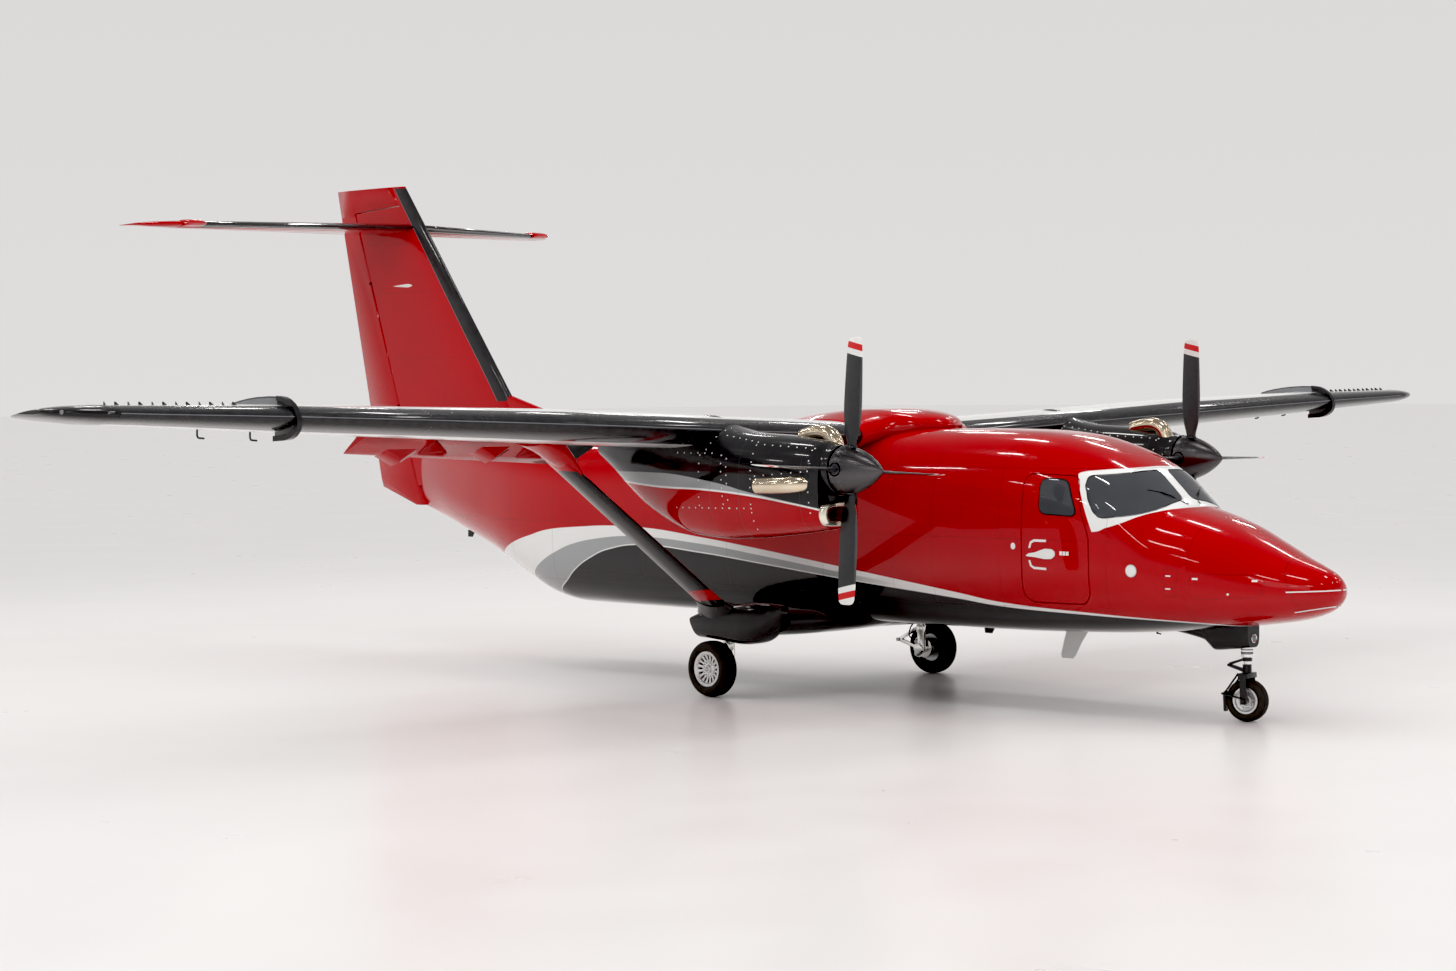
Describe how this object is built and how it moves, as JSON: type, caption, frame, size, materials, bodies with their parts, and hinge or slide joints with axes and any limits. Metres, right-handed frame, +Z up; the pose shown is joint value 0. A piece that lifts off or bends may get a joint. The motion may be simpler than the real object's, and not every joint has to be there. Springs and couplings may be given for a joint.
{
  "type": "turboprop airliner",
  "caption": "High-wing twin turboprop airliner with wing struts, cruciform tail, fixed tricycle gear, turning propellers and wheels, steering nose wheel, control surfaces, flaps and doors.",
  "frame": {"origin": "on the ground, under the middle of the bounding box, in the plane of symmetry", "axes": "+X to the nose, +Y to the port side, +Z up"},
  "size_m": [16.79, 22.02, 6.3083],
  "materials": {
    "red_skin": "gloss",
    "white_skin": "gloss",
    "black_skin": "gloss",
    "black_tail": "gloss",
    "bright_steel": "polished",
    "gear_steel": "satin",
    "engine_alloy": "satin",
    "propeller_black": "satin",
    "tyre": "matte",
    "glass": "gloss"
  },
  "bodies": {
    "airframe": {"engine_port": "engine_alloy", "engine_stbd": "engine_alloy", "exhaust_inner_port": "bright_steel", "exhaust_inner_stbd": "bright_steel", "exhaust_outer_port": "bright_steel", "exhaust_outer_stbd": "bright_steel", "fin": "red_skin", "fuselage": "red_skin", "gear_pod_port": "black_skin", "gear_pod_stbd": "black_skin", "inlet_lip_port": "bright_steel", "inlet_lip_stbd": "bright_steel", "main_leg_port": "gear_steel", "main_leg_stbd": "gear_steel", "nacelle_port": "black_skin", "nacelle_stbd": "black_skin", "nose_gear_fairing": "black_skin", "nose_leg": "bright_steel", "stabiliser_port": "black_tail", "stabiliser_stbd": "black_tail", "windshield_port": "glass", "windshield_stbd": "glass", "wing_fence_port": "black_skin", "wing_fence_stbd": "black_skin", "wing_port": "white_skin", "wing_stbd": "white_skin", "wing_strut_port": "black_skin", "wing_strut_stbd": "black_skin"},
    "aileron_port": {"aileron_port": "white_skin"},
    "aileron_stbd": {"aileron_stbd": "white_skin"},
    "cargo_door_port": {"cargo_door_port": "red_skin"},
    "crew_door_port": {"crew_door_port": "red_skin"},
    "crew_door_stbd": {"crew_door_stbd": "red_skin"},
    "elevator_port": {"elevator_port": "red_skin"},
    "elevator_stbd": {"elevator_stbd": "red_skin"},
    "flap_inner_port": {"flap_inner_port": "red_skin"},
    "flap_inner_stbd": {"flap_inner_stbd": "red_skin"},
    "flap_outer_port": {"flap_outer_port": "red_skin"},
    "flap_outer_stbd": {"flap_outer_stbd": "red_skin"},
    "main_wheel_port": {"main_wheel_port": "tyre"},
    "main_wheel_stbd": {"main_wheel_stbd": "tyre"},
    "nose_fork": {"nose_fork": "gear_steel"},
    "nose_wheel": {"nose_wheel": "tyre"},
    "propeller_port": {"propeller_port": "propeller_black"},
    "propeller_stbd": {"propeller_stbd": "propeller_black"},
    "rudder": {"rudder": "red_skin"}
  },
  "joints": [
    {"name": "propeller_spin_stbd", "type": "hinge", "parent": "airframe", "child": "propeller_stbd", "pos_m": [4.329, -2.893, 2.639], "axis": [1, 0, 0], "continuous": true},
    {"name": "main_wheel_roll_stbd", "type": "hinge", "parent": "airframe", "child": "main_wheel_stbd", "pos_m": [1.163, -1.874, 0.318], "axis": [0, 1, 0], "continuous": true},
    {"name": "aileron_hinge_stbd", "type": "hinge", "parent": "airframe", "child": "aileron_stbd", "pos_m": [1.21949, -8.53, 3.21433], "axis": [-0.0504, 0.9981, -0.0367], "range_deg": [-20, 20]},
    {"name": "elevator_hinge_stbd", "type": "hinge", "parent": "airframe", "child": "elevator_stbd", "pos_m": [-7.82923, -1.7, 5.74], "axis": [0.0902, 0.9959, 0], "range_deg": [-20, 20]},
    {"name": "flap_outer_hinge_stbd", "type": "hinge", "parent": "airframe", "child": "flap_outer_stbd", "pos_m": [1.043, -5.01, 2.82373], "axis": [0, 0.9992, -0.0403], "range_deg": [0, 32]},
    {"name": "flap_inner_hinge_stbd", "type": "hinge", "parent": "airframe", "child": "flap_inner_stbd", "pos_m": [1.043, -1.71, 2.68523], "axis": [0, 0.9991, -0.0434], "range_deg": [0, 32]},
    {"name": "propeller_spin_port", "type": "hinge", "parent": "airframe", "child": "propeller_port", "pos_m": [4.329, 2.893, 2.639], "axis": [1, 0, 0], "continuous": true},
    {"name": "main_wheel_roll_port", "type": "hinge", "parent": "airframe", "child": "main_wheel_port", "pos_m": [1.163, 1.874, 0.318], "axis": [0, 1, 0], "continuous": true},
    {"name": "aileron_hinge_port", "type": "hinge", "parent": "airframe", "child": "aileron_port", "pos_m": [1.21949, 8.53, 3.21433], "axis": [0.0504, 0.9981, 0.0367], "range_deg": [-20, 20]},
    {"name": "elevator_hinge_port", "type": "hinge", "parent": "airframe", "child": "elevator_port", "pos_m": [-7.82923, 1.7, 5.74], "axis": [-0.0902, 0.9959, 0], "range_deg": [-20, 20]},
    {"name": "flap_outer_hinge_port", "type": "hinge", "parent": "airframe", "child": "flap_outer_port", "pos_m": [1.043, 5.01, 2.82373], "axis": [0, 0.9992, 0.0403], "range_deg": [0, 32]},
    {"name": "flap_inner_hinge_port", "type": "hinge", "parent": "airframe", "child": "flap_inner_port", "pos_m": [1.043, 1.71, 2.68523], "axis": [0, 0.9991, 0.0434], "range_deg": [0, 32]},
    {"name": "nose_steer", "type": "hinge", "parent": "airframe", "child": "nose_fork", "pos_m": [7.218, 0, 0.53], "axis": [0, 0, 1], "range_deg": [-62, 38]},
    {"name": "nose_wheel_roll", "type": "hinge", "parent": "nose_fork", "child": "nose_wheel", "pos_m": [7.218, 0, 0.222], "axis": [-0.2079, 0.9781, 0], "continuous": true},
    {"name": "rudder_hinge", "type": "hinge", "parent": "airframe", "child": "rudder", "pos_m": [-7.13231, 0, 4], "axis": [-0.3459, 0, 0.9383], "range_deg": [-25, 25]},
    {"name": "crew_door_hinge_stbd", "type": "hinge", "parent": "airframe", "child": "crew_door_stbd", "pos_m": [5.875, -0.945, 1.8], "axis": [0, 0, 1], "range_deg": [0, 95]},
    {"name": "crew_door_hinge_port", "type": "hinge", "parent": "airframe", "child": "crew_door_port", "pos_m": [5.875, 0.945, 1.8], "axis": [0, 0, -1], "range_deg": [0, 95]},
    {"name": "cargo_door_hinge", "type": "hinge", "parent": "airframe", "child": "cargo_door_port", "pos_m": [-1.362, 0.88, 2.612], "axis": [1, 0, 0], "range_deg": [0, 95]}
  ],
  "couplings": [
    {"joint": "aileron_hinge_port", "follows": "aileron_hinge_stbd", "ratio": -1},
    {"joint": "elevator_hinge_port", "follows": "elevator_hinge_stbd", "ratio": 1},
    {"joint": "flap_outer_hinge_port", "follows": "flap_outer_hinge_stbd", "ratio": 1},
    {"joint": "flap_inner_hinge_stbd", "follows": "flap_outer_hinge_stbd", "ratio": 1},
    {"joint": "flap_inner_hinge_port", "follows": "flap_outer_hinge_stbd", "ratio": 1}
  ]
}
